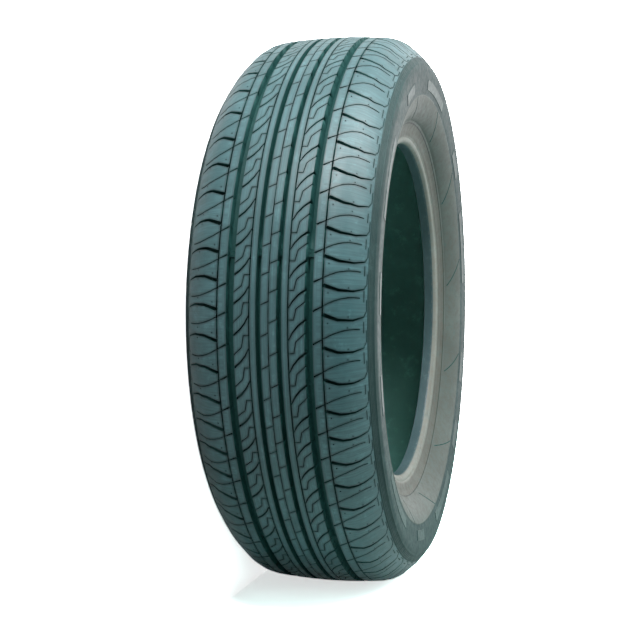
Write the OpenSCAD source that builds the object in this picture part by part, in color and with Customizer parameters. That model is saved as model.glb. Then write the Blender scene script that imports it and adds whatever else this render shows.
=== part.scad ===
// Passenger-car tyre, bare and without a wheel, moulded in one piece.
// The wheel axis is Z, the origin is the centre of the tyre, +Z is the
// sidewall that faces up when the tyre lies down. All sizes in millimetres.

/* [Size] */
// diameter over the unworn tread
outer_diameter = 622; // [606:1:640]
// width over both sidewalls
section_width = 191.5; // [188:0.5:195]
// diameter of the two cylindrical bead seats
bead_seat_diameter = 380.2; // [378:0.1:384]
// distance between the outer faces of the two beads
bead_spacing = 139.6; // [136:0.2:143]
// width of one bead from its outer face to its toe
bead_width = 16.1; // [14:0.1:17.5]
// width of one rounded shoulder, from the end of the crown to the widest place
shoulder_width = 38.96; // [37.5:0.02:40]

/* [Casing] */
// cross curvature of the tread
crown_radius = 525.7; // [450:0.1:700]
// radius of the upper shoulder, where the tread starts to fall
shoulder_radius = 34; // [32:0.5:36]
// radius of the long lower shoulder
buttress_radius = 68.7; // [66:0.1:71]
// rubber and belts under the middle of the tread, groove depth included
crown_thickness = 14.6; // [13.5:0.1:17]
// thickness of the thinnest part of the sidewall
sidewall_thickness = 6.6; // [5.5:0.1:8]

/* [Grooves round the tyre] */
// depth of the four wide grooves
tread_depth = 8; // [6:0.1:8.5]
// distance of the outer wide grooves from the middle
outer_groove_at = 38.7; // [38:0.1:39.5]
// mouth of the outer wide grooves
outer_groove_width = 7.8; // [6.5:0.1:8.5]
// distance of the inner wide grooves from the middle
inner_groove_at = 10.2; // [9.8:0.1:10.8]
// mouth of the inner wide grooves
inner_groove_width = 4.9; // [4:0.1:5.5]
// distance of the thin grooves beside the inner ribs
rib_line_at = 19.05; // [18.6:0.05:19.4]
// distance of the thin grooves that start the shoulders
shoulder_line_at = 51.7; // [51:0.1:52.4]
// width of the thin grooves
line_width = 1.3; // [1:0.1:1.6]
// depth of the thin grooves
line_depth = 5; // [4:0.1:6]
// how far the walls of the wide grooves lean outwards
wall_slope = 7; // [4:0.5:9]

/* [Cross pattern] */
// order of the short, middle and long steps round the tyre
pitches = "MLLLMMMSSSMMMSSSMMLLLMMSSSSMMLLLMMSSSSMLLLMMSSSMMLLLMSSSSLLMSSS";
// middle step against a short one
middle_step = 1.12; // [1.08:0.01:1.16]
// long step against a short one
long_step = 1.3; // [1.2:0.01:1.34]
// angle at which the first step starts
first_step_at = 210.9; // [205:0.1:215]
// shift of the left half along the tread, in short steps
half_shift = 0.427; // [0.38:0.001:0.45]
// depth of the cross grooves in the shoulders
cross_depth = 5.6; // [4.8:0.1:6]
// depth of the curved slots in the second ribs
slot_depth = 5.6; // [4.5:0.1:6.2]
// how far across the cross grooves reach from the thin grooves
cross_reach = 38.8; // [36:0.1:39.5]
// lean of the floor of the shoulder grooves
cross_lean = 22; // [20:0.5:23]
// width of the thin cuts
sipe_width = 0.9; // [0.7:0.05:1.1]
// depth of the thin cuts
sipe_depth = 5; // [3.5:0.1:5.6]

/* [Wear bars] */
// height of the bars across the wide grooves
wear_bar_height = 1.6; // [1.2:0.1:1.7]
// number of bars round the tyre
wear_bars = 6; // [4:1:8]

/* [Hidden] */
rubber = [0.17, 0.21, 0.22];
r0 = outer_diameter/2;
seat_r = bead_seat_diameter/2;
heel_at = bead_spacing/2;
toe_at = heel_at - bead_width;

// contour points are [distance from the middle, radius], and a tilt of 0 faces
// straight out from the wheel axis, 90 faces sideways
function along(p, r, t0, t1) = p + r*[sin(t1) - sin(t0), cos(t1) - cos(t0)];
// n more points of a bowed line from p to q, its tilt going from t0 to t1
function bow(p, q, t0, t1, n) = [for (i = [1:n]) let (t = t0 + (t1 - t0)*i/n)
    [p[0] + (q[0] - p[0])*(sin(t) - sin(t0))/(sin(t1) - sin(t0)),
     p[1] + (q[1] - p[1])*(cos(t) - cos(t0))/(cos(t1) - cos(t0))]];
// surface radius of the crown at a distance from the middle
function crown_at(y) = r0 - crown_radius + sqrt(crown_radius*crown_radius - y*y);
function xy(list) = [for (p = list) [p[1], p[0]]];

// outside: two shoulder arcs and a small one that turns into the sidewall
crown_end = [section_width/2 - shoulder_width, crown_at(section_width/2 - shoulder_width)];
shoulder_mid = along(crown_end, shoulder_radius, 6.2, 34.3);
shoulder_low = along(shoulder_mid, buttress_radius, 34.3, 61.9);
wall_high = along(shoulder_low, 13.5, 61.9, 92);
// the sidewall below it: a bulge, and a hollow over the rim edge, which share
// the height and depth that are left above the heel of the bead
heel_top = [heel_at, seat_r + 8.2];
side = wall_high - heel_top;
bulge_top = wall_high - [1.54, 0.2407*side[1]];
hollow_top = heel_top + [0.2813*side[0], 0.2485*side[1]];

// inside: flat under the tread, one bow under the shoulder, one in the bulge
liner_at = crown_end[0] - 1;
liner_end = [liner_at, crown_at(liner_at) - crown_thickness - 1.2];
liner_low = wall_high - [sidewall_thickness + 2.4, 0.181*side[1]];
in_high = bulge_top - sidewall_thickness*[sin(95.5), cos(95.5)];
in_low = hollow_top - sidewall_thickness*[sin(134), cos(134)];

// upper half of the solid outline, down to the middle plane
module outline() {
    heel_low = [heel_at, seat_r + 6];
    polygon(xy(concat(
        [[0, seat_r]],
        [for (y = [0, inner_groove_at, rib_line_at, outer_groove_at, shoulder_line_at])
            if (y < crown_end[0]) [y, crown_at(y)]],
        [crown_end], bow(crown_end, shoulder_mid, 6.2, 34.3, 2),
        bow(shoulder_mid, shoulder_low, 34.3, 61.9, 2),
        bow(shoulder_low, wall_high, 61.9, 92, 5),
        [bulge_top], bow(bulge_top, hollow_top, 95.5, 134, 8),
        bow(hollow_top, heel_top, 134, 90, 5),
        [heel_low], bow(heel_low, [heel_at - 6, seat_r], 90, 180, 5))));
}

// upper half of the air chamber, open towards the axis
module chamber() {
    polygon(xy(concat(
        [[-1, seat_r - 9], [-1, r0 - crown_thickness], [18, r0 - crown_thickness], liner_end],
        bow(liner_end, liner_low, 8, 88, 7),
        [in_high], bow(in_high, in_low, 95.5, 134, 6),
        [[toe_at, seat_r + 2], [toe_at + 1, seat_r], [toe_at + 1, seat_r - 9]])));
}

// one trapezium that cuts a groove all the way round
module groove(at, mouth, depth, slope) {
    translate([crown_at(at), at]) rotate(-asin(at/crown_radius))
        polygon([
            [1, -mouth/2 - tan(slope)], [1, mouth/2 + tan(slope)],
            [0.9 - depth, mouth/2 - tan(slope)*depth], [-depth, mouth/2 - tan(slope)*depth - 0.8],
            [-depth, -mouth/2 + tan(slope)*depth + 0.8], [0.9 - depth, -mouth/2 + tan(slope)*depth]]);
}

module line_groove(at, mouth, depth) {
    translate([crown_at(at) - depth, at - mouth/2]) square([depth + 1, mouth]);
}

module half_section() {
    difference() {
        outline();
        chamber();
        groove(outer_groove_at, outer_groove_width, tread_depth, wall_slope);
        groove(inner_groove_at, inner_groove_width, tread_depth, wall_slope/2);
        line_groove(rib_line_at, line_width, line_depth);
        line_groove(shoulder_line_at, line_width + 0.2, line_depth + 0.5);
        line_groove(0, sipe_width, sipe_depth);
    }
}

module section() {
    half_section();
    mirror([0, 1]) half_section();
}

// circle through three points, as [centre, radius]
function circle3(a, b, c) =
    let (d = 2*(a[0]*(b[1] - c[1]) + b[0]*(c[1] - a[1]) + c[0]*(a[1] - b[1])),
         sa = a*a, sb = b*b, sc = c*c,
         m = [(sa*(b[1] - c[1]) + sb*(c[1] - a[1]) + sc*(a[1] - b[1]))/d,
              (sa*(c[0] - b[0]) + sb*(a[0] - c[0]) + sc*(b[0] - a[0]))/d])
    [m, norm(a - m)];

// curved band through three points in n straight pieces, its width going from w0 to w1
module band(a, b, c, w0, w1, n = 3) {
    m = circle3(a, b, c)[0];
    r = circle3(a, b, c)[1];
    t0 = atan2(a[1] - m[1], a[0] - m[0]);
    d = atan2(c[1] - m[1], c[0] - m[0]) - t0;
    turn = d > 180 ? d - 360 : d < -180 ? d + 360 : d;
    edge = function(s) [for (i = [0:n]) let (t = t0 + turn*i/n)
        m + (r + s*(w0 + (w1 - w0)*i/n)/2)*[cos(t), sin(t)]];
    far = edge(-1);
    polygon(concat(edge(1), [for (i = [n:-1:0]) far[i]]));
}

module stroke(a, b, w0, w1) {
    n = [a[1] - b[1], b[0] - a[0]]/norm(b - a)/2;
    polygon([a + n*w0, a - n*w0, b - n*w1, b + n*w1]);
}

// stands a plan shape on a floor: x of the plan runs round the tyre, y across it
module cutter(v, y, radius, lean = 0) {
    rotate([0, 0, -v/r0*180/PI])
        translate([radius, 0, y]) rotate([0, -lean, 0]) rotate([90, 0, 90])
            linear_extrude(r0 + 4 - radius) mirror([1, 0]) children();
}

// one half of one step of the pattern, k is its length against a short one
m_in = outer_groove_at - outer_groove_width/2 + 0.3;
m_out = outer_groove_at + outer_groove_width/2 - 0.3;
second_rib = (m_in + rib_line_at)/2;
narrow_rib = (m_out + shoulder_line_at)/2;
module rib_cuts(k) {
    // cut across the narrow rib
    cutter(5*k, narrow_rib, crown_at(narrow_rib) - sipe_depth, 5)
        stroke([-2.2*k, m_out - narrow_rib], [2*k, shoulder_line_at - 0.3 - narrow_rib], 1.9, sipe_width);
    // curved slot of the second rib
    cutter(-13.6*k, second_rib, crown_at(second_rib) - slot_depth, 3)
        band([8.6*k, m_in - second_rib], [-0.3*k, -2.6], [-8.6*k, rib_line_at + 0.3 - second_rib], 2.1, 1);
    // hooked thin cut of the second rib
    cutter(-24.7*k, second_rib, crown_at(second_rib) - sipe_depth, 3) {
        band([8.6*k, m_in - second_rib], [2.2*k, -0.2], [-8.6*k, -2.8], sipe_width, sipe_width, 2);
        stroke([-8.6*k, -2.4], [-8.6*k, rib_line_at + 0.2 - second_rib], sipe_width, sipe_width);
    }
    // thin cut of the middle rib
    cutter(-6.1*k, 0, r0 - sipe_depth)
        stroke([-1.8*k, 0.2], [1.7*k, inner_groove_at - inner_groove_width/2 + 0.3],
            sipe_width, sipe_width);
}
module shoulder_cuts(k) {
    y = shoulder_line_at - 1.6;
    reach = cross_reach/cos(cross_lean);
    // cross groove of the shoulder, its floor leaning with the surface
    cutter(-3*k, y, crown_at(y) - cross_depth, cross_lean)
        band([3*k, 0], [-2*k, 0.44*reach], [1.4*k, reach], 3.7, 0.9);
}

function step(c) = c == "S" ? 1 : c == "M" ? middle_step : long_step;
function total(i) = i == 0 ? 0 : total(i - 1) + step(pitches[i - 1]);
unit = 360/total(len(pitches));

// angle of a step, the left half turned over and shifted along the tread
module place(i, s) {
    rotate([0, 0, first_step_at + total(i)*unit + (s < 0 ? 2*half_shift*step(pitches[i])*unit : 0)])
        rotate([s < 0 ? 180 : 0, 0, 0]) children();
}
module pattern() {
    for (i = [0:len(pitches) - 1], s = [-1, 1]) place(i, s) {
        k = step(pitches[i])*unit/5.16*r0/311;
        rib_cuts(k);
        shoulder_cuts(k);
    }
}

// low bars in the wide grooves that show when the tread is worn down
module wear_bar_set() {
    places = [-outer_groove_at, -inner_groove_at, inner_groove_at, outer_groove_at];
    for (i = [0:wear_bars - 1], g = places)
        rotate([0, 0, i*360/wear_bars + 17]) {
            half = (abs(g) > 20 ? outer_groove_width : inner_groove_width)/2;
            rotate_extrude(angle = 1.6, $fn = 180)
                translate([crown_at(abs(g)) - tread_depth - 1, g - half])
                    square([1 + wear_bar_height, 2*half]);
        }
}

module tyre() {
    color(rubber) difference() {
        union() {
            rotate_extrude($fn = 180) section();
            wear_bar_set();
        }
        pattern();
    }
}

tyre();
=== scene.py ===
# %% [markdown]
# A car tyre is one moulded ring of rubber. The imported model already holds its
# section, its grooves and its tread pattern, in metres, with the wheel axis
# along Z and the origin at the wheel's centre. This script gives that ring its
# finest lines and its moulded finish, and lights it as in a studio.

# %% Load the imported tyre
import math

import bmesh
import bpy
import numpy as np
from mathutils import Matrix, Vector


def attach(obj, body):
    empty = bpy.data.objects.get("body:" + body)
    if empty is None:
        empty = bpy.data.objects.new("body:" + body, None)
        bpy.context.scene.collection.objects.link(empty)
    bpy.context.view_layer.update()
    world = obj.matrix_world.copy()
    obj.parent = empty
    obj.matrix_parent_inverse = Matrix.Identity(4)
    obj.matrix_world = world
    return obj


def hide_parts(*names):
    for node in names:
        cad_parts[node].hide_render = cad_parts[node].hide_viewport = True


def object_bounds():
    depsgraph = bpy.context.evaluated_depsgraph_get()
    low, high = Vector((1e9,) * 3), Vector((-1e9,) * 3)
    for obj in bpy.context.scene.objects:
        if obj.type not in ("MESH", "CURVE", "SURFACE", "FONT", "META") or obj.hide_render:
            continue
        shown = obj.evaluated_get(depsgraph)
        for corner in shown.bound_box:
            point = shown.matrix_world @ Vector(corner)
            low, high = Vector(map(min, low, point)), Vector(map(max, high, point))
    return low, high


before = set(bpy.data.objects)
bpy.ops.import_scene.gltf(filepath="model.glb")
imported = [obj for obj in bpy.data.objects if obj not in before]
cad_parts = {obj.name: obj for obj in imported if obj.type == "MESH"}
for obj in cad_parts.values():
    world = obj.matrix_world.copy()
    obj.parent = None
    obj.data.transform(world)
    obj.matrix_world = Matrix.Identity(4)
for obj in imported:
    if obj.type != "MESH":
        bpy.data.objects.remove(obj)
cad_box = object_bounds()
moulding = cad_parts["tyre"]
print("triangles in the moulding:", len(moulding.data.polygons))

# %% [markdown]
# The tyre lies on its hidden sidewall, so the camera that sees it as the
# photograph does is rolled a quarter turn: the picture's up is -X and the
# picture's right is close to +Z. The viewpoint was found by fitting the round
# edges of the tyre, and no shift is needed.

# %% Camera at the photograph's viewpoint
eye = Vector((-0.0556, -1.42795, 0.3553))
picture_right = Vector((0.0, 0.26914, 0.9631))
picture_up = Vector((-0.99918, 0.039092, -0.010924))
line_of_sight = Vector((0.04059, 0.96231, -0.26892))

lens = bpy.data.cameras.new("camera")
lens.sensor_width = 36.0
lens.lens = 72.45
lens.clip_end = 60.0
camera = bpy.data.objects.new("camera", lens)
bpy.context.scene.collection.objects.link(camera)
turn = Matrix((picture_right, picture_up, -line_of_sight)).transposed()
camera.matrix_world = Matrix.Translation(eye) @ turn.to_4x4()
bpy.context.scene.camera = camera
print("distance to the wheel centre:", round(eye.length, 3), "m")

# %% [markdown]
# Moulded rubber is never one even grey. The mould leaves a fine grain, old
# release agent and dust leave paler clouds, and handling rubs it in places. One
# node group gives these as masks and a height, so that the tread, the sidewall
# and the liner can each use them in their own measure.

# %% A node group for the moulded skin
def new_group(name, sockets_in, sockets_out):
    """Start a shader node group with named sockets."""
    group = bpy.data.node_groups.new(name, "ShaderNodeTree")
    for label, kind in sockets_in:
        group.interface.new_socket(label, in_out="INPUT", socket_type=kind)
    for label, kind in sockets_out:
        group.interface.new_socket(label, in_out="OUTPUT", socket_type=kind)
    return group, group.nodes.new("NodeGroupInput"), group.nodes.new("NodeGroupOutput")


def noise_node(tree, vector, scale, detail, rough):
    """A noise texture that reads a given vector."""
    node = tree.nodes.new("ShaderNodeTexNoise")
    node.inputs["Scale"].default_value = scale
    node.inputs["Detail"].default_value = detail
    node.inputs["Roughness"].default_value = rough
    tree.links.new(vector, node.inputs["Vector"])
    return node.outputs["Fac"]


def span_node(tree, value, given, wanted=(0.0, 1.0)):
    """Map a value from the given span to the wanted one, clamped."""
    node = tree.nodes.new("ShaderNodeMapRange")
    for label, number in zip(("From Min", "From Max", "To Min", "To Max"), (*given, *wanted)):
        node.inputs[label].default_value = number
    tree.links.new(value, node.inputs["Value"])
    return node.outputs[0]


def maths_node(tree, operation, first, second):
    """One step of arithmetic on a socket and a number or a socket."""
    node = tree.nodes.new("ShaderNodeMath")
    node.operation = operation
    for socket, value in ((node.inputs[0], first), (node.inputs[1], second)):
        if isinstance(value, (int, float)):
            socket.default_value = value
        else:
            tree.links.new(value, socket)
    return node.outputs[0]


skin, skin_in, skin_out = new_group(
    "moulded_skin",
    [("Place", "NodeSocketVector")],
    [(label, "NodeSocketFloat") for label in ("Clouds", "Grain", "Scuffs", "Dust", "Lines")],
)
place = skin_in.outputs["Place"]
clouds = noise_node(skin, place, scale=14.0, detail=4.0, rough=0.6)
grain = noise_node(skin, place, scale=900.0, detail=3.0, rough=0.7)
scuffs = noise_node(skin, place, scale=160.0, detail=5.0, rough=0.75)
flecks = noise_node(skin, place, scale=55.0, detail=6.0, rough=0.8)

# %% [markdown]
# The mould's own fine lines run round the ribs and across the shoulders. A
# noise does for both, when it is drawn out the one way or the other: it is read
# at the angle about the axle and the place across the tyre, each times a
# number, and the larger number gives the closer lines.

# %% Fine lines, round the ribs and across the shoulders
rib_lines = {"around": 5.0, "across": 900.0}
shoulder_lines = {"around": 170.0, "across": 30.0}
ribs_end, shoulder_begins = 0.0455, 0.0465

apart = skin.nodes.new("ShaderNodeSeparateXYZ")
skin.links.new(place, apart.inputs[0])
around = maths_node(skin, "ARCTAN2", apart.outputs["Y"], apart.outputs["X"])
drawn = []
for close in (rib_lines, shoulder_lines):
    ruled = skin.nodes.new("ShaderNodeCombineXYZ")
    skin.links.new(maths_node(skin, "MULTIPLY", around, close["around"]), ruled.inputs["X"])
    skin.links.new(maths_node(skin, "MULTIPLY", apart.outputs["Z"], close["across"]),
                   ruled.inputs["Y"])
    drawn.append(noise_node(skin, ruled.outputs[0], scale=1.0, detail=2.0, rough=0.6))
from_middle = maths_node(skin, "ABSOLUTE", apart.outputs["Z"], 0.0)
choice = skin.nodes.new("ShaderNodeMix")
skin.links.new(span_node(skin, from_middle, (ribs_end, shoulder_begins)), choice.inputs[0])
skin.links.new(drawn[0], choice.inputs[2])
skin.links.new(drawn[1], choice.inputs[3])

# %% What the group puts out
masks = {
    "Clouds": span_node(skin, clouds, (0.35, 0.68)),
    "Grain": grain,
    "Scuffs": span_node(skin, scuffs, (0.42, 0.7)),
    "Dust": span_node(skin, flecks, (0.55, 0.78), (0.0, 0.6)),
    "Lines": span_node(skin, choice.outputs[0], (0.35, 0.65)),
}
for label, mask in masks.items():
    skin.links.new(mask, skin_out.inputs[label])
print("masks of the moulded skin:", list(masks))

# %% [markdown]
# On the wall the finish changes with the distance from the axle: the outer band
# is dark, the panel below it is paler and warmer, partly its own tone and partly
# painted light against the shade of its hollow, a thin ring of painted shade
# marks the narrow groove at the panel's inner edge, and the lip at the rim is
# painted palest as a painted highlight. A second group turns the place into that
# distance, so that a colour can be laid on from one radius inwards.

# %% A node group for the distance from the axle
rings, rings_in, rings_out = new_group(
    "distance_from_axle",
    [("Place", "NodeSocketVector"), ("Inner", "NodeSocketFloat"), ("Outer", "NodeSocketFloat")],
    [("Nearness", "NodeSocketFloat")],
)
flat = rings.nodes.new("ShaderNodeVectorMath")
flat.operation = "MULTIPLY"
flat.inputs[1].default_value = (1.0, 1.0, 0.0)
rings.links.new(rings_in.outputs["Place"], flat.inputs[0])
reach = rings.nodes.new("ShaderNodeVectorMath")
reach.operation = "LENGTH"
rings.links.new(flat.outputs[0], reach.inputs[0])
nearness = rings.nodes.new("ShaderNodeMapRange")
rings.links.new(reach.outputs["Value"], nearness.inputs["Value"])
rings.links.new(rings_in.outputs["Inner"], nearness.inputs["From Min"])
rings.links.new(rings_in.outputs["Outer"], nearness.inputs["From Max"])
nearness.inputs["To Min"].default_value = 1.0
nearness.inputs["To Max"].default_value = 0.0
rings.links.new(nearness.outputs[0], rings_out.inputs["Nearness"])
print("groups:", [g.name for g in bpy.data.node_groups])

# %% [markdown]
# All the finishes share the groups and differ in colour, gloss and grain. The
# tread is a blue-grey satin. Its grooves are painted darker, partly as painted
# shade deep in the cuts and partly as rubber that no hand has rubbed. The liner
# inside is a greener rubber, painted paler as painted light, because it lies in
# the shade. A little sheen stands for the fine dust that makes rubber paler where
# it is seen at a low angle. Along every cut the tread is painted with a darker
# rim of shade. An Ambient Occlusion node that looks into the solid finds it,
# because next to a cut the node's rays soon leave the rubber again.

# %% Colours and groups placed in a material
def colour_mix(tree, factor, first, second):
    """Mix two colours, each a tuple or a socket."""
    node = tree.nodes.new("ShaderNodeMix")
    node.data_type = "RGBA"
    for socket, value in ((node.inputs[6], first), (node.inputs[7], second)):
        if isinstance(value, tuple):
            socket.default_value = (*value, 1.0)
        else:
            tree.links.new(value, socket)
    tree.links.new(factor, node.inputs[0])
    return node.outputs[2]


def placed_group(tree, group, place, **values):
    """A copy of a node group that reads the object's own coordinates."""
    node = tree.nodes.new("ShaderNodeGroup")
    node.node_tree = group
    tree.links.new(place, node.inputs["Place"])
    for label, value in values.items():
        node.inputs[label].default_value = value
    return node.outputs


def shaded(colour, part):
    """A colour with every channel times one number."""
    return tuple(part * c for c in colour)


# %% A rubber finish
band_shade = 0.78                 # the darker clouds of a band
soil_leaves = (0.85, 0.62, 0.55)  # what soil leaves of red, green and blue
soil_strength = 0.5
dust_lift = 1.9                   # dust against the palest rubber
line_shade = 0.45                 # the mould's lines against the darkest rubber
painted_rim_shade = 0.36                  # and the painted shade beside a cut
painted_rim_reach = 0.0024
painted_rim_span, painted_rim_strength = (0.55, 0.97), (0.8, 0.0)
grain_strength, sheen_rough = 0.3, 0.4


def banded(tree, place, marks, colour, bands):
    """Lay other colours over a colour, each cloudy and soiled, from a distance
    to the axle inwards."""
    for inner, outer, tint in bands:
        near = placed_group(tree, rings, place, Inner=inner, Outer=outer)["Nearness"]
        cloudy = colour_mix(tree, marks["Clouds"], shaded(tint, band_shade), tint)
        soil = maths_node(tree, "MULTIPLY", marks["Scuffs"], soil_strength)
        soiled = tuple(c * part for c, part in zip(tint, soil_leaves))
        colour = colour_mix(tree, near, colour, colour_mix(tree, soil, cloudy, soiled))
    return colour


def lined_with_painted_rim_shade(tree, marks, colour, dark, lined):
    """Lay the mould's fine lines, and a painted shade along every cut, over a colour."""
    faint = maths_node(tree, "MULTIPLY", marks["Lines"], lined)
    colour = colour_mix(tree, faint, colour, shaded(dark, line_shade))
    # painted shade: the colour darkens where rays into the solid soon leave it, beside every cut
    rim = tree.nodes.new("ShaderNodeAmbientOcclusion")
    rim.inside, rim.only_local, rim.samples = True, True, 6
    rim.inputs["Distance"].default_value = painted_rim_reach
    edge = span_node(tree, rim.outputs["AO"], painted_rim_span, painted_rim_strength)
    return colour_mix(tree, edge, colour, shaded(dark, painted_rim_shade))


def rubber(name, dark, pale, gloss, shine=0.15, grain_height=0.0001, sheen=0.0, bands=(),
           lined=0.0):
    """A rubber finish between a dark and a pale colour. Gloss is the roughness
    where the scuffs are least and most. Each band is (inner, outer, colour):
    from its outer to its inner distance from the axle that colour takes over.
    A lined finish has the mould's lines at that strength, and a painted shade along every cut."""
    material = bpy.data.materials.new(name)
    material.use_nodes = True
    tree = material.node_tree
    shader = tree.nodes["Principled BSDF"]
    shader.inputs["Specular IOR Level"].default_value = shine
    shader.inputs["Sheen Weight"].default_value = sheen
    shader.inputs["Sheen Roughness"].default_value = sheen_rough
    place = tree.nodes.new("ShaderNodeTexCoord").outputs["Object"]
    marks = placed_group(tree, skin, place)
    colour = colour_mix(tree, marks["Clouds"], dark, pale)
    colour = banded(tree, place, marks, colour, bands)
    colour = colour_mix(tree, marks["Dust"], colour, shaded(pale, dust_lift))
    if lined:
        colour = lined_with_painted_rim_shade(tree, marks, colour, dark, lined)
    tree.links.new(colour, shader.inputs["Base Color"])
    rough = span_node(tree, marks["Scuffs"], (0.0, 1.0), gloss)
    tree.links.new(rough, shader.inputs["Roughness"])
    bump = tree.nodes.new("ShaderNodeBump")
    bump.inputs["Strength"].default_value = grain_strength
    bump.inputs["Distance"].default_value = grain_height
    tree.links.new(marks["Grain"], bump.inputs["Height"])
    tree.links.new(bump.outputs["Normal"], shader.inputs["Normal"])
    return material


# %% The six kinds of rubber
tread_rubber = rubber(
    "tread_rubber", (0.036, 0.104, 0.114), (0.062, 0.149, 0.164), gloss=(0.40, 0.55),
    shine=0.5, grain_height=0.0002, sheen=0.2, lined=0.45)
# the grooves are painted darker: partly painted shade deep in the cuts, partly rubber that no
# hand has rubbed
groove_painted_shade_rubber = rubber(
    "groove_painted_shade_rubber", (0.009, 0.050, 0.047), (0.015, 0.064, 0.060), gloss=(0.55, 0.7))
# painted paler than the rubber, as painted light, because the liner lies in the shade
liner_painted_light_rubber = rubber(
    "liner_painted_light_rubber", (0.090, 0.270, 0.232), (0.116, 0.320, 0.280), gloss=(0.5, 0.65),
    shine=0.38)
bead_rubber = rubber(
    "bead_rubber", (0.050, 0.092, 0.100), (0.074, 0.122, 0.132), gloss=(0.28, 0.4),
    shine=0.4)
# paler than the wall, as a painted highlight on the raised arcs
arc_painted_highlight_rubber = rubber(
    "arc_painted_highlight_rubber", (0.030, 0.056, 0.055), (0.054, 0.086, 0.082), gloss=(0.34, 0.5),
    shine=0.22)
sidewall_rubber = rubber(
    "sidewall_rubber", (0.020, 0.044, 0.044), (0.032, 0.062, 0.061), gloss=(0.42, 0.58),
    shine=0.13, bands=[
        # the panel: partly its own cream tone, partly painted light against the hollow's shade
        (0.2432, 0.2446, (0.116, 0.142, 0.131)),
        # a thin ring of painted shade in the narrow groove
        (0.2132, 0.2142, (0.016, 0.028, 0.026)),
        (0.2124, 0.2132, (0.118, 0.132, 0.116)),
        # the lip at the rim: a painted highlight
        (0.1975, 0.2000, (0.240, 0.265, 0.240)),
    ])
print("materials:", [m.name for m in bpy.data.materials])

# %% [markdown]
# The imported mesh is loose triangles. A merged copy can be cut with thin sipes
# and shaded smooth across the small steps of the section, so it stands for the
# moulding in the picture.

# %% A merged copy of the moulding
def merged_copy(source, name):
    """A copy of a node's mesh with its doubles merged."""
    mesh = source.data.copy()
    mesh.name = name
    work = bmesh.new()
    work.from_mesh(mesh)
    bmesh.ops.remove_doubles(work, verts=work.verts, dist=2e-6)
    open_edges = sum(1 for e in work.edges if not e.is_manifold)
    work.to_mesh(mesh)
    work.free()
    piece = bpy.data.objects.new(name, mesh)
    bpy.context.scene.collection.objects.link(piece)
    print(name, "faces", len(mesh.polygons), "open edges", open_edges)
    return piece


tyre_skin = merged_copy(moulding, "tyre_skin")

# %% [markdown]
# The steps of the tread have three lengths in a fixed order, so that the tyre
# doesn't hum. What repeats with them, the sipes, the vent holes and the marks
# on the shoulder's edge, is placed from one list of angles. The left half is
# the right half turned end for end and shifted along the tread by part of a
# step.

# %% Where the steps of the tread are
tread_radius = 0.311
crown_radius = 0.5257
step_order = "MLLLMMMSSSMMMSSSMMLLLMMSSSSMMLLLMMSSSSMLLLMMSSSMMLLLMSSSSLLMSSS"
step_length = {"S": 1.0, "M": 1.12, "L": 1.3}
step_unit = 360.0 / sum(step_length[c] for c in step_order)
drawn_step = 5.16    # degrees of the step that the shapes are drawn for
first_step = 210.9   # degrees
half_shift = 0.427   # of a step, at each side of the middle


def crown(across):
    """Radius of the crown at a distance from the middle."""
    return tread_radius - crown_radius + math.sqrt(crown_radius ** 2 - across ** 2)


def step_places():
    """Angle in degrees, side and stretch of each half step."""
    places, angle = [], first_step
    for letter in step_order:
        size = step_length[letter] * step_unit
        for side in (1, -1):
            shift = 2 * half_shift * size if side < 0 else 0.0
            places.append((angle + shift, side, size / drawn_step))
        angle += size
    return places


def seed_points(name, places, along=0.0):
    """Points at the origin that carry the turn and the stretch of each copy.
    A copy stands a distance along the tread from its step's start."""
    mesh = bpy.data.meshes.new(name)
    mesh.from_pydata([(0.0, 0.0, 0.0)] * len(places), [], [])
    turns, stretches = [], []
    for angle, side, stretch in places:
        slide = side * along * stretch / tread_radius
        turns += [0.0 if side > 0 else math.pi, 0.0, math.radians(angle) - slide]
        stretches.append(stretch)
    mesh.attributes.new("turn", "FLOAT_VECTOR", "POINT").data.foreach_set("vector", turns)
    mesh.attributes.new("stretch", "FLOAT", "POINT").data.foreach_set("value", stretches)
    seeds = bpy.data.objects.new(name, mesh)
    bpy.context.scene.collection.objects.link(seeds)
    return seeds


steps = step_places()
short_step = math.radians(step_unit) * tread_radius
print("half steps:", len(steps), "short step:", round(short_step * 1000, 2), "mm")

# %% A tree that repeats one shape at every seed
def repeat_tree(name, inputs, build, material):
    """A Geometry Nodes tree: build() makes one shape, and a copy of it is
    turned and stretched at each seed point."""
    tree = bpy.data.node_groups.new(name, "GeometryNodeTree")
    tree.interface.new_socket("Geometry", in_out="INPUT", socket_type="NodeSocketGeometry")
    for label in inputs:
        tree.interface.new_socket(label, in_out="INPUT", socket_type="NodeSocketFloat")
    tree.interface.new_socket("Geometry", in_out="OUTPUT", socket_type="NodeSocketGeometry")
    start, end = tree.nodes.new("NodeGroupInput"), tree.nodes.new("NodeGroupOutput")
    copies = tree.nodes.new("GeometryNodeInstanceOnPoints")
    turn_of, stretch_of = (tree.nodes.new("GeometryNodeInputNamedAttribute") for _ in range(2))
    turn_of.data_type = "FLOAT_VECTOR"
    turn_of.inputs[0].default_value = "turn"
    stretch_of.inputs[0].default_value = "stretch"
    sizes = tree.nodes.new("ShaderNodeCombineXYZ")
    sizes.inputs[0].default_value = sizes.inputs[2].default_value = 1.0
    whole = tree.nodes.new("GeometryNodeRealizeInstances")
    paint = tree.nodes.new("GeometryNodeSetMaterial")
    paint.inputs["Material"].default_value = material
    links = tree.links
    links.new(start.outputs["Geometry"], copies.inputs["Points"])
    links.new(build(tree, start), copies.inputs["Instance"])
    links.new(turn_of.outputs[0], copies.inputs["Rotation"])
    links.new(stretch_of.outputs[0], sizes.inputs[1])
    links.new(sizes.outputs[0], copies.inputs["Scale"])
    links.new(copies.outputs[0], whole.inputs[0])
    links.new(whole.outputs[0], paint.inputs["Geometry"])
    links.new(paint.outputs[0], end.inputs["Geometry"])
    return tree


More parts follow.
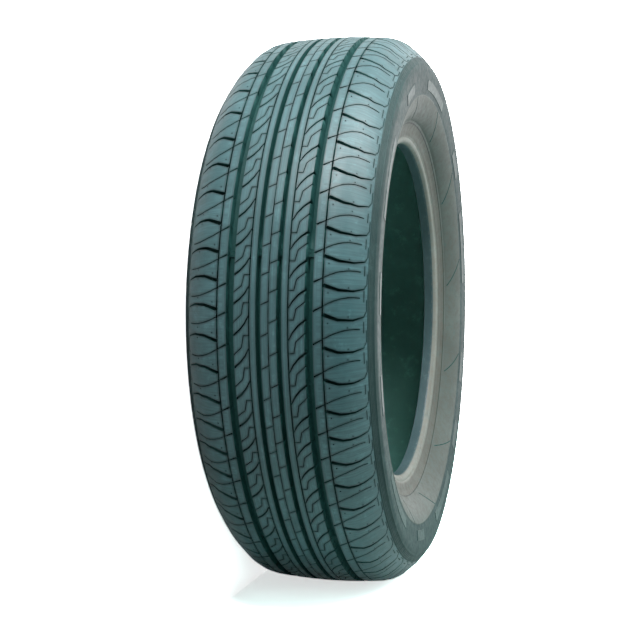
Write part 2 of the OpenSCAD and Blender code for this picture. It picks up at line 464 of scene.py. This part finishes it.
def grown(seeds, tree, values, name):
    """Run a tree on its seeds with these input values and keep a plain mesh."""
    modifier = seeds.modifiers.new("grow", "NODES")
    modifier.node_group = tree
    for item in tree.interface.items_tree:
        if item.in_out == "INPUT" and item.name in values:
            modifier[item.identifier] = values[item.name]
    graph = bpy.context.evaluated_depsgraph_get()
    mesh = bpy.data.meshes.new_from_object(seeds.evaluated_get(graph))
    mesh.name = name
    piece = bpy.data.objects.new(name, mesh)
    bpy.context.scene.collection.objects.link(piece)
    bpy.data.objects.remove(seeds)
    print(name, "faces", len(mesh.polygons))
    return piece


# %% [markdown]
# The moulding's section is made of short straight pieces, where the real tyre
# is turned from true arcs. The arcs are written down here once. They place the
# small marks of the shoulder, give each corner of the outer surface its true
# normal, and carry the relief of the wall.

# %% The arcs of the outer wall
def tilt_point(radius, degrees):
    """Radius times the direction that tilts away from straight out."""
    a = math.radians(degrees)
    return np.array([radius * math.sin(a), radius * math.cos(a)])


def arc_points(centre, radius, first, last, count):
    """Points [across, out] along an arc, and the normal of each."""
    rows = []
    for i in range(count + 1):
        t = first + (last - first) * i / count
        rows.append((centre + tilt_point(radius, t), tilt_point(1.0 if radius > 0 else -1.0, t)))
    return rows


def arc_end(start, radius, first, last):
    """Where an arc ends that starts at a point, from one tilt to another."""
    return start + tilt_point(radius, last) - tilt_point(radius, first)


# %% Radii in metres and tilts in degrees, from the crown to the bead
shoulder_radius, buttress_radius, edge_radius, bulge_radius = 0.034, 0.0687, 0.0135, 0.062
hollow_radius, heel_radius = -0.026, 0.006   # a hollow's radius is negative
crown_tilt, shoulder_end, buttress_end, edge_end, bulge_end = 6.2, 34.3, 61.9, 92, 134
upright = 90
crown_across, heel_across, seat_radius, heel_height = 0.05679, 0.0698, 0.1901, 0.0082

crown_corner = np.array([crown_across, crown(crown_across)])
shoulder_corner = arc_end(crown_corner, shoulder_radius, crown_tilt, shoulder_end)
buttress_corner = arc_end(shoulder_corner, buttress_radius, shoulder_end, buttress_end)
heel_corner = np.array([heel_across, seat_radius + heel_height])
hollow_corner = arc_end(heel_corner, hollow_radius, upright, bulge_end)

crown_centre = np.array([0.0, tread_radius - crown_radius])
shoulder_centre = crown_corner - tilt_point(shoulder_radius, crown_tilt)
buttress_centre = shoulder_corner - tilt_point(buttress_radius, shoulder_end)
edge_centre = buttress_corner - tilt_point(edge_radius, buttress_end)
bulge_centre = hollow_corner - tilt_point(bulge_radius, bulge_end)
hollow_centre = heel_corner - tilt_point(hollow_radius, upright)
heel_centre = np.array([heel_across - heel_radius, seat_radius + heel_radius])

# %% Points along the arcs
# an arc begins a little past the last one's end, so that no point comes twice
shoulder = arc_points(crown_centre, crown_radius, 0.0, crown_tilt, 24)
shoulder += arc_points(shoulder_centre, shoulder_radius, 7.0, shoulder_end, 24)
shoulder += arc_points(buttress_centre, buttress_radius, 35.3, buttress_end, 36)
wall = arc_points(buttress_centre, buttress_radius, 53.0, buttress_end, 7)
wall += arc_points(edge_centre, edge_radius, 63, edge_end, 12)
wall += arc_points(bulge_centre, bulge_radius, 95.5, bulge_end, 40)
wall += arc_points(hollow_centre, hollow_radius, 133, 91, 14)
wall += arc_points(heel_centre, heel_radius, upright, 180, 10)
print("wall from radius", round(wall[0][0][1], 4), "to", round(wall[-1][0][1], 4))

# %% [markdown]
# Between two wide cross grooves of the shoulder runs one thin sipe, cut in the
# mould by a steel blade under a millimetre thick. A tree sweeps one blade along
# its arc, in a plan laid out flat, and a Transform node then stands the plan on
# the leaning floor of the cut. The copies are cut away further on.

# %% The thin sipes of the shoulder
sipe_from, sipe_depth = 0.0501, 0.0062
sipe_lean = math.radians(19.0)
sipe_floor = crown(sipe_from) - sipe_depth
blade_rise = 0.0057   # the blade's middle above the floor of the cut
blade_start = 0.012   # the blade along the tread from its step's start
plan_turn = Matrix((
    (-math.sin(sipe_lean), 0.0, math.cos(sipe_lean)),
    (0.0, -1.0, 0.0),
    (math.cos(sipe_lean), 0.0, math.sin(sipe_lean)),
))


def sipe_blade(tree, start):
    """A thin upright strip along an arc: X of the plan runs across the tyre, Y
    along it, and Z out of the floor."""
    arc = tree.nodes.new("GeometryNodeCurveArc")
    arc.mode = "POINTS"
    arc.inputs["Resolution"].default_value = 7
    arc.inputs["Start"].default_value = (0.0, -0.0048, blade_rise)
    arc.inputs["Middle"].default_value = (0.017, 0.0017, blade_rise)
    arc.inputs["End"].default_value = (0.035, 0.0026, blade_rise)
    level = tree.nodes.new("GeometryNodeSetCurveNormal")
    level.mode = "Z_UP"
    profile = tree.nodes.new("GeometryNodeCurvePrimitiveQuadrilateral")
    sweep = tree.nodes.new("GeometryNodeCurveToMesh")
    sweep.inputs["Fill Caps"].default_value = True
    stand = tree.nodes.new("GeometryNodeTransform")
    stand.inputs["Translation"].default_value = (sipe_floor, 0.0, sipe_from)
    stand.inputs["Rotation"].default_value = plan_turn.to_euler()
    tree.links.new(start.outputs["Width"], profile.inputs["Width"])
    tree.links.new(start.outputs["Height"], profile.inputs["Height"])
    tree.links.new(arc.outputs[0], level.inputs[0])
    tree.links.new(level.outputs[0], sweep.inputs["Curve"])
    tree.links.new(profile.outputs[0], sweep.inputs["Profile Curve"])
    tree.links.new(sweep.outputs[0], stand.inputs["Geometry"])
    return stand.outputs[0]


blades = grown(
    seed_points("blade_seeds", steps, blade_start),
    repeat_tree("sipe_blades", ["Width", "Height"], sipe_blade, groove_painted_shade_rubber),
    {"Width": 0.0009, "Height": 0.009},
    "sipe_blades",
)

# %% [markdown]
# Where the shoulder turns into the wall, each step is bordered by two staggered
# dashes and a short slanting line from the groove's tip. They are shallow cuts,
# laid out by distance along the tread and across it. Beside each groove the
# mould's air vents have left small round holes.

# %% The marks on the shoulder's edge
dash_ends = (   # along and across at one end, then at the other
    (-0.0014, 0.0869, 0.0022, 0.0884),
    (0.0026, 0.0887, 0.0134, 0.0887),
    (0.0112, 0.0867, 0.0214, 0.0867),
)
vent_places = ((-0.0020, 0.0745), (-0.0112, 0.0740), (-0.0072, 0.0568))
shoulder_across = [row[0][0] for row in shoulder]
shoulder_out = [row[0][1] for row in shoulder]
shoulder_tilt = [math.atan2(row[1][0], row[1][1]) for row in shoulder]


def on_surface(along, across):
    """Point and outward direction of the tread at a step's own place."""
    out = np.interp(across, shoulder_across, shoulder_out)
    tilt = np.interp(across, shoulder_across, shoulder_tilt)
    a = -along / tread_radius
    return (Vector((out * math.cos(a), out * math.sin(a), across)),
            Vector((math.cos(tilt) * math.cos(a), math.cos(tilt) * math.sin(a), math.sin(tilt))))


def bar_between(tree, start, first, second, outward):
    """A box of the tree's Width and Height that joins two points."""
    way = second - first
    y = way.normalized()
    x = (outward - outward.dot(y) * y).normalized()
    turned_to = Matrix((x, y, x.cross(y))).transposed()
    size = tree.nodes.new("ShaderNodeCombineXYZ")
    size.inputs["Y"].default_value = way.length
    tree.links.new(start.outputs["Height"], size.inputs["X"])
    tree.links.new(start.outputs["Width"], size.inputs["Z"])
    box = tree.nodes.new("GeometryNodeMeshCube")
    tree.links.new(size.outputs[0], box.inputs["Size"])
    stand = tree.nodes.new("GeometryNodeTransform")
    stand.inputs["Translation"].default_value = (first + second) / 2
    stand.inputs["Rotation"].default_value = turned_to.to_euler()
    tree.links.new(box.outputs["Mesh"], stand.inputs["Geometry"])
    return stand.outputs[0]


def joined(tree, parts):
    """Several shapes as one."""
    join = tree.nodes.new("GeometryNodeJoinGeometry")
    for part in parts:
        tree.links.new(part, join.inputs[0])
    return join.outputs[0]


def edge_dashes(tree, start):
    """The slanting line and the two dashes of one step."""
    parts = []
    for along_a, across_a, along_b, across_b in dash_ends:
        first, up = on_surface(along_a, across_a)
        second, _ = on_surface(along_b, across_b)
        parts.append(bar_between(tree, start, first, second, up))
    return joined(tree, parts)


def vent_holes(tree, start):
    """Round vent holes beside the wide cross groove of one step."""
    parts = []
    for along, across in vent_places:
        place, up = on_surface(along, across)
        pin = tree.nodes.new("GeometryNodeMeshCylinder")
        pin.inputs["Vertices"].default_value = 8
        tree.links.new(start.outputs["Width"], pin.inputs["Radius"])
        tree.links.new(start.outputs["Height"], pin.inputs["Depth"])
        stand = tree.nodes.new("GeometryNodeTransform")
        stand.inputs["Translation"].default_value = place
        stand.inputs["Rotation"].default_value = up.to_track_quat("Z", "Y").to_euler()
        tree.links.new(pin.outputs["Mesh"], stand.inputs["Geometry"])
        parts.append(stand.outputs[0])
    return joined(tree, parts)


dashes = grown(
    seed_points("dash_seeds", steps),
    repeat_tree("edge_dashes", ["Width", "Height"], edge_dashes, groove_painted_shade_rubber),
    {"Width": 0.0008, "Height": 0.0022},
    "edge_dashes",
)
vents = grown(
    seed_points("vent_seeds", steps),
    repeat_tree("vent_holes", ["Width", "Height"], vent_holes, groove_painted_shade_rubber),
    {"Width": 0.0006, "Height": 0.0024},
    "vent_holes",
)

# %% Cut them all
def cut_away(piece, cutters):
    """Take closed shapes away from a piece and keep a plain mesh."""
    for cutter in cutters:
        cut = piece.modifiers.new(cutter.name, "BOOLEAN")
        cut.operation = "DIFFERENCE"
        cut.solver = "MANIFOLD"
        cut.object = cutter
    graph = bpy.context.evaluated_depsgraph_get()
    sliced = bpy.data.meshes.new_from_object(piece.evaluated_get(graph))
    piece.modifiers.clear()
    piece.data = sliced
    sliced.name = piece.name
    for cutter in cutters:
        bpy.data.objects.remove(cutter)
    print(piece.name, "faces after the cuts:", len(sliced.polygons))


cut_away(tyre_skin, [blades, dashes, vents])

# %% [markdown]
# The skin now needs a finish on each face and true normals on the tread. Both
# come from the same measure: how far a face or a corner lies below the true
# arcs, and where on them. The distance across minus the distance out grows
# steadily from the crown to the wall, so it finds the place on the arcs.

# %% The true arcs as a table
shoulder_line = np.array([row[0][0] - row[0][1] for row in shoulder])
shoulder_facing = np.array([row[1] for row in shoulder])


def on_arcs(across, out, values):
    """Values of the arcs at the places nearest to these points."""
    return np.interp(across - out, shoulder_line, values)


def corner_normals(mesh, outer):
    """True normals for the corners of the outer faces, nothing for the rest."""
    corner = np.empty(len(mesh.loops), dtype=np.int64)
    mesh.loops.foreach_get("vertex_index", corner)
    places = np.empty(len(mesh.vertices) * 3)
    mesh.vertices.foreach_get("co", places)
    x, y, z = places.reshape(-1, 3)[corner].T
    out = np.hypot(x, y)
    tilt = on_arcs(np.abs(z), out, shoulder_tilt)
    normals = np.stack([np.cos(tilt) * x / out, np.cos(tilt) * y / out,
                        np.sin(tilt) * np.sign(z)], axis=1)
    sizes = np.empty(len(mesh.polygons), dtype=np.int64)
    mesh.polygons.foreach_get("loop_total", sizes)
    normals[~np.repeat(outer, sizes)] = 0.0
    return normals


def face_facts(mesh):
    """Distance across, distance out and normal [across, out] of every face."""
    centres, normals = np.empty((2, len(mesh.polygons) * 3))
    mesh.polygons.foreach_get("center", centres)
    mesh.polygons.foreach_get("normal", normals)
    centres, normals = centres.reshape(-1, 3), normals.reshape(-1, 3)
    out = np.hypot(centres[:, 0], centres[:, 1])
    up = (normals[:, 0] * centres[:, 0] + normals[:, 1] * centres[:, 1]) / out
    sideways = normals[:, 2] * np.sign(centres[:, 2])
    return np.abs(centres[:, 2]), out, np.stack([sideways, up], axis=1)


def smooth_by_angle(piece, degrees):
    """Smooth shading, broken where two faces meet at more than this angle."""
    mesh = piece.data
    mesh.polygons.foreach_set("use_smooth", [True] * len(mesh.polygons))
    mesh.set_sharp_from_angle(angle=math.radians(degrees))


# %% Finishes and normals of the skin
tread_from = 0.2745          # radius where the tread's moulding ends
skin_depth = 0.00065         # what lies deeper is a groove
liner_depth = 0.0095         # and what lies deeper still is the inside
same_way = math.cos(math.radians(17))
most_outwards, least_inwards = 0.3, -0.2   # how the liner's faces point
bead_below, bead_within = 0.1925, 0.066
TREAD, GROOVE, LINER, SIDEWALL, BEAD = range(5)

mesh = tyre_skin.data
across, out, facing = face_facts(mesh)
true_across = on_arcs(across, out, shoulder_across)
true_out = on_arcs(across, out, shoulder_out)
true_facing = np.stack([on_arcs(across, out, shoulder_facing[:, i]) for i in (0, 1)], axis=1)
depth = (true_across - across) * true_facing[:, 0] + (true_out - out) * true_facing[:, 1]
likeness = (facing * true_facing).sum(axis=1)
high = out > tread_from
outer = high & (depth < skin_depth) & (likeness > same_way)
inwards = (facing[:, 1] < most_outwards) & (facing[:, 0] < least_inwards) & (out < tread_from)
finish = np.where(outer, TREAD, np.where(high, GROOVE, SIDEWALL))
finish[(high & (depth > liner_depth)) | inwards] = LINER
finish[(out < bead_below) & (across < bead_within)] = BEAD
mesh.materials.clear()
for material in (tread_rubber, groove_painted_shade_rubber, liner_painted_light_rubber, sidewall_rubber, bead_rubber):
    mesh.materials.append(material)
smooth_by_angle(tyre_skin, 26)
mesh.polygons.foreach_set("material_index", finish.astype(np.int32))
mesh.normals_split_custom_set(corner_normals(mesh, outer).tolist())
mesh.update()
print("faces of each finish:", np.bincount(finish, minlength=5).tolist())

# %% [markdown]
# The wall between tread and rim carries what the mould has turned into it: fine
# lines on the buttress, a raised ring, a raised panel, and a lip at the rim. A
# thin face holds this relief just above the moulding's straight strips. It is
# one closed profile turned about the axis, so that no edge is open.

# %% The relief that the mould has turned into the wall
relief = [(285.6, -0.4), (285.0, 0.1)]   # radius and height in millimetres
for line_at in (283.6, 282.2, 280.8):
    relief += [(line_at + 0.35, 0.1), (line_at, -0.15), (line_at - 0.35, 0.1)]
relief += [(279.4, 0.1), (278.8, 0.7), (277.6, 0.7), (276.8, 0.1)]
relief += [(243.9, 0.1), (243.4, 0.55), (214.2, 0.55), (213.9, 0.02)]
relief += [(213.3, 0.02), (213.0, 0.4), (207.3, 0.4), (206.8, 0.9)]
relief += [(205.9, 0.9), (205.3, 0.12), (192.2, 0.12), (190.12, 0.05)]
corner_out = np.array([c[0] for c in relief]) / 1000
corner_up = np.array([c[1] for c in relief]) / 1000
between_corners = np.arange(0.1925, 0.285, 0.003)
back_depth = 0.0012

order = sorted(wall, key=lambda row: row[0][1])
wall_out = np.array([row[0][1] for row in order])
wall_across = np.array([row[0][0] for row in order])
wall_normal = np.array([row[1] for row in order])
widest = cad_box[1][2]


def wall_place(out, lift):
    """Point [across, out] of the wall at a radius, lifted along its normal and
    held inside the moulding's own width."""
    n = np.array([np.interp(out, wall_out, wall_normal[:, i]) for i in (0, 1)])
    n = n / np.hypot(*n)
    place = np.array([np.interp(out, wall_out, wall_across), out]) + lift * n
    return np.array([min(place[0], widest), place[1]])


def relief_at(out):
    """Height of the turned relief at a radius."""
    return float(np.interp(out, corner_out[::-1], corner_up[::-1]))


all_out = np.round(np.concatenate([corner_out, between_corners]), 5)
stations = sorted(set(all_out), reverse=True)
face_line = [wall_place(s, relief_at(s)) for s in stations]
back_line = [wall_place(s, -back_depth) for s in stations[::-4]]
print("stations across the wall:", len(face_line))

# %% A closed profile turned about the axis
def turned(name, loops, count, material):
    """Closed profiles [across, out] turned once about Z into closed solids."""
    work = bmesh.new()
    for loop in loops:
        rings = []
        for i in range(count):
            a = 2 * math.pi * i / count
            rings.append([work.verts.new((out * math.cos(a), out * math.sin(a), across))
                          for across, out in loop])
        for i in range(count):
            low, high = rings[i], rings[(i + 1) % count]
            for j in range(len(loop)):
                k = (j + 1) % len(loop)
                work.faces.new((low[j], low[k], high[k], high[j]))
    bmesh.ops.recalc_face_normals(work, faces=work.faces)
    mesh = bpy.data.meshes.new(name)
    work.to_mesh(mesh)
    work.free()
    piece = bpy.data.objects.new(name, mesh)
    bpy.context.scene.collection.objects.link(piece)
    mesh.materials.append(material)
    return piece


right_loop = face_line + back_line
left_loop = [np.array([-across, out]) for across, out in right_loop]
wall_face = turned("wall_face", [right_loop, left_loop], 240, sidewall_rubber)
smooth_by_angle(wall_face, 40)
print("faces of both walls:", len(wall_face.data.polygons))

# %% [markdown]
# The wall's outer band carries plain raised arcs, painted paler than the wall as
# a painted highlight, and the panel below it is divided by thin slanting lines.
# The arcs are swept in the wheel's plane by a tree that takes their length as an
# input, so short and long ones share it.

# %% Raised arcs on the wall
arc_radius = 0.256
arc_profile = ((0.2500, -0.0005), (0.2505, 0.0006), (0.2616, 0.0006), (0.2621, -0.0005))
long_angles, long_sweep = (12, 96, 160, 226, 308), 22.0
short_angles, short_sweep = (44, 66, 130, 200, 260, 282, 346), 9.0


def arc_places(angles):
    """The same angles on both walls."""
    return [(angle, side, 1.0) for angle in angles for side in (1, -1)]


def raised_arc(tree, start):
    """A low bar with sloping sides along an arc of the upper wall."""
    arc = tree.nodes.new("GeometryNodeCurveArc")
    arc.mode = "RADIUS"
    arc.inputs["Resolution"].default_value = 14
    arc.inputs["Radius"].default_value = arc_radius
    tree.links.new(start.outputs["Sweep"], arc.inputs["Sweep Angle"])
    level = tree.nodes.new("GeometryNodeSetCurveNormal")
    level.mode = "Z_UP"
    profile = tree.nodes.new("GeometryNodeCurvePrimitiveQuadrilateral")
    profile.mode = "POINTS"
    for i, (radius, lift) in enumerate(arc_profile):
        across, out = wall_place(radius, lift)
        profile.inputs[f"Point {i + 1}"].default_value = (out - arc_radius, -across, 0.0)
    sweep = tree.nodes.new("GeometryNodeCurveToMesh")
    sweep.inputs["Fill Caps"].default_value = True
    tree.links.new(arc.outputs[0], level.inputs[0])
    tree.links.new(level.outputs[0], sweep.inputs["Curve"])
    tree.links.new(profile.outputs[0], sweep.inputs["Profile Curve"])
    return sweep.outputs[0]


def outwards(piece):
    """Turn the faces of closed shapes outwards."""
    work = bmesh.new()
    work.from_mesh(piece.data)
    bmesh.ops.recalc_face_normals(work, faces=work.faces)
    work.to_mesh(piece.data)
    work.free()


# the raised arcs take the paler rubber of a painted highlight
arc_tree = repeat_tree("raised_arcs", ["Sweep"], raised_arc, arc_painted_highlight_rubber)
long_arcs = grown(seed_points("long_seeds", arc_places(long_angles)), arc_tree,
                  {"Sweep": math.radians(long_sweep)}, "long_arcs")
short_arcs = grown(seed_points("short_seeds", arc_places(short_angles)), arc_tree,
                   {"Sweep": math.radians(short_sweep)}, "short_arcs")

# %% Slanting lines of the panel
panel_from, panel_to, panel_slant = 0.2145, 0.2430, 9.0
line_lift, line_outward = 0.00045, 0.0015   # the line, and a point above it
line_angles = range(5, 365, 30)


def panel_line(tree, start):
    """A thin line from the rim side of the panel to its outer edge."""
    points = []
    for radius in np.linspace(panel_from, panel_to, 7):
        slant = math.radians(panel_slant) * (radius - panel_from) / (panel_to - panel_from)
        place = wall_place(radius, line_lift)
        way = wall_place(radius, line_outward) - place
        points.append([Vector((out * math.cos(slant), out * math.sin(slant), across))
                       for across, out in (place, way)])
    return joined(tree, [bar_between(tree, start, a, b, outward)
                         for (a, outward), (b, _) in zip(points, points[1:])])


# the panel's thin lines take the grooves' darker finish, a painted shade for thin grooves
panel_lines = grown(
    seed_points("panel_seeds", arc_places(line_angles)),
    repeat_tree("panel_lines", ["Width", "Height"], panel_line, groove_painted_shade_rubber),
    {"Width": 0.0011, "Height": 0.0005},
    "panel_lines",
)
for piece in (long_arcs, short_arcs, panel_lines):
    outwards(piece)
    smooth_by_angle(piece, 30)

# %% [markdown]
# The floor is where the lower sidewall rests, and it fills the background from
# this viewpoint. The photograph's tyre also stands on white ground, which is a
# sheet below the tread here; it is seen only from the tyre's side. Both throw
# little light back at the tyre, but what the camera sees of them is far
# brighter and lifted by a plain strength, so that open ground is pure white
# while the shadow right below the tyre stays. The rubber mirrors only the
# floor's own grey and a tenth of its white, because the whole of it would
# bleach the wall.

# %% Floor and ground
def white_ground(name, corners, colour, gain, lift, mirrored=0.0, one_sided=False):
    """A white plane that keeps shadows. The camera sees its colour times the
    gain and a glow of the lift; what mirrors it sees a glow of its own."""
    mesh = bpy.data.meshes.new(name)
    mesh.from_pydata(corners, [], [(0, 1, 2, 3)])
    piece = bpy.data.objects.new(name, mesh)
    bpy.context.scene.collection.objects.link(piece)
    material = bpy.data.materials.new(name + "_white")
    material.use_nodes = True
    tree = material.node_tree
    tree.nodes.clear()
    paint = tree.nodes.new("ShaderNodeBsdfDiffuse")
    glow = tree.nodes.new("ShaderNodeEmission")
    rays = tree.nodes.new("ShaderNodeLightPath")
    seen = rays.outputs["Is Camera Ray"]
    tree.links.new(colour_mix(tree, seen, colour, shaded(colour, gain)), paint.inputs["Color"])
    reflected = maths_node(tree, "MULTIPLY", rays.outputs["Is Glossy Ray"], mirrored)
    lifted = maths_node(tree, "MULTIPLY", seen, lift)
    tree.links.new(maths_node(tree, "ADD", lifted, reflected), glow.inputs["Strength"])
    both = tree.nodes.new("ShaderNodeAddShader")
    tree.links.new(paint.outputs[0], both.inputs[0])
    tree.links.new(glow.outputs[0], both.inputs[1])
    end = tree.nodes.new("ShaderNodeOutputMaterial")
    if one_sided:
        choose = tree.nodes.new("ShaderNodeMixShader")
        geometry = tree.nodes.new("ShaderNodeNewGeometry")
        clear = tree.nodes.new("ShaderNodeBsdfTransparent")
        tree.links.new(geometry.outputs["Backfacing"], choose.inputs[0])
        tree.links.new(both.outputs[0], choose.inputs[1])
        tree.links.new(clear.outputs[0], choose.inputs[2])
        both = choose
    tree.links.new(both.outputs[0], end.inputs["Surface"])
    mesh.materials.append(material)
    return piece


low, wide = cad_box[0][2], 30.0
below, near, far, tall = cad_box[1][0] + 0.0005, -0.5, 1.6, 1.2
white_ground(
    "floor", [(-wide, -wide, low), (wide, -wide, low), (wide, wide, low), (-wide, wide, low)],
    (0.5, 0.5, 0.5), gain=9.0, lift=0.72, mirrored=0.1)
white_ground(
    "ground", [(below, near, low), (below, near, tall), (below, far, tall), (below, far, low)],
    (0.36, 0.48, 0.46), gain=12.5, lift=0.62, one_sided=True)
print("floor at Z", round(low, 4), "ground at X", round(below, 4))

# %% [markdown]
# The photograph has a large soft light over the picture's top, a smaller one
# over the side of the open rim, a small one high above the camera, and an even
# fill that is stronger from behind. The picture's up is -X here and its depth
# is +Y, so the fill is a world whose strength follows Y. The camera sees that
# world as white.

# %% Lights
fill_in_front, fill_behind = 0.12, 2.0


def soft_lamp(name, place, aim, size, power):
    """A square area lamp that points at a place."""
    lamp = bpy.data.lights.new(name, "AREA")
    lamp.size = size
    lamp.energy = power
    piece = bpy.data.objects.new(name, lamp)
    bpy.context.scene.collection.objects.link(piece)
    piece.location = place
    piece.rotation_euler = (Vector(aim) - Vector(place)).to_track_quat("-Z", "Y").to_euler()
    return piece


centre = (0, 0, 0)
soft_lamp("top_light", (-2.0, -0.7, 0.5), centre, size=1.6, power=54.0)
soft_lamp("rim_light", (-1.4, -0.3, 1.3), centre, size=1.0, power=30.0)
soft_lamp("left_light", (-1.9, -1.4, 0.08), centre, size=0.34, power=27.0)
world = bpy.data.worlds.new("studio")
bpy.context.scene.world = world
world.use_nodes = True
tree = world.node_tree
sky = tree.nodes["Background"]
split = tree.nodes.new("ShaderNodeSeparateXYZ")
rays = tree.nodes.new("ShaderNodeLightPath")
tree.links.new(tree.nodes.new("ShaderNodeTexCoord").outputs["Generated"], split.inputs[0])
fill = span_node(tree, split.outputs["Y"], (0.0, 1.0), (fill_in_front, fill_behind))
strength = maths_node(tree, "MAXIMUM", fill, rays.outputs["Is Camera Ray"])
tree.links.new(strength, sky.inputs["Strength"])
sky.inputs["Color"].default_value = (1.0, 1.0, 1.0, 1.0)
bpy.context.scene.view_settings.view_transform = "Standard"

# %% [markdown]
# The skin stands for the one moulded node, and every piece moves with it.

# %% Tie to the frame and finish
for piece in (tyre_skin, wall_face, long_arcs, short_arcs, panel_lines):
    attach(piece, "root")
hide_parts("tyre")
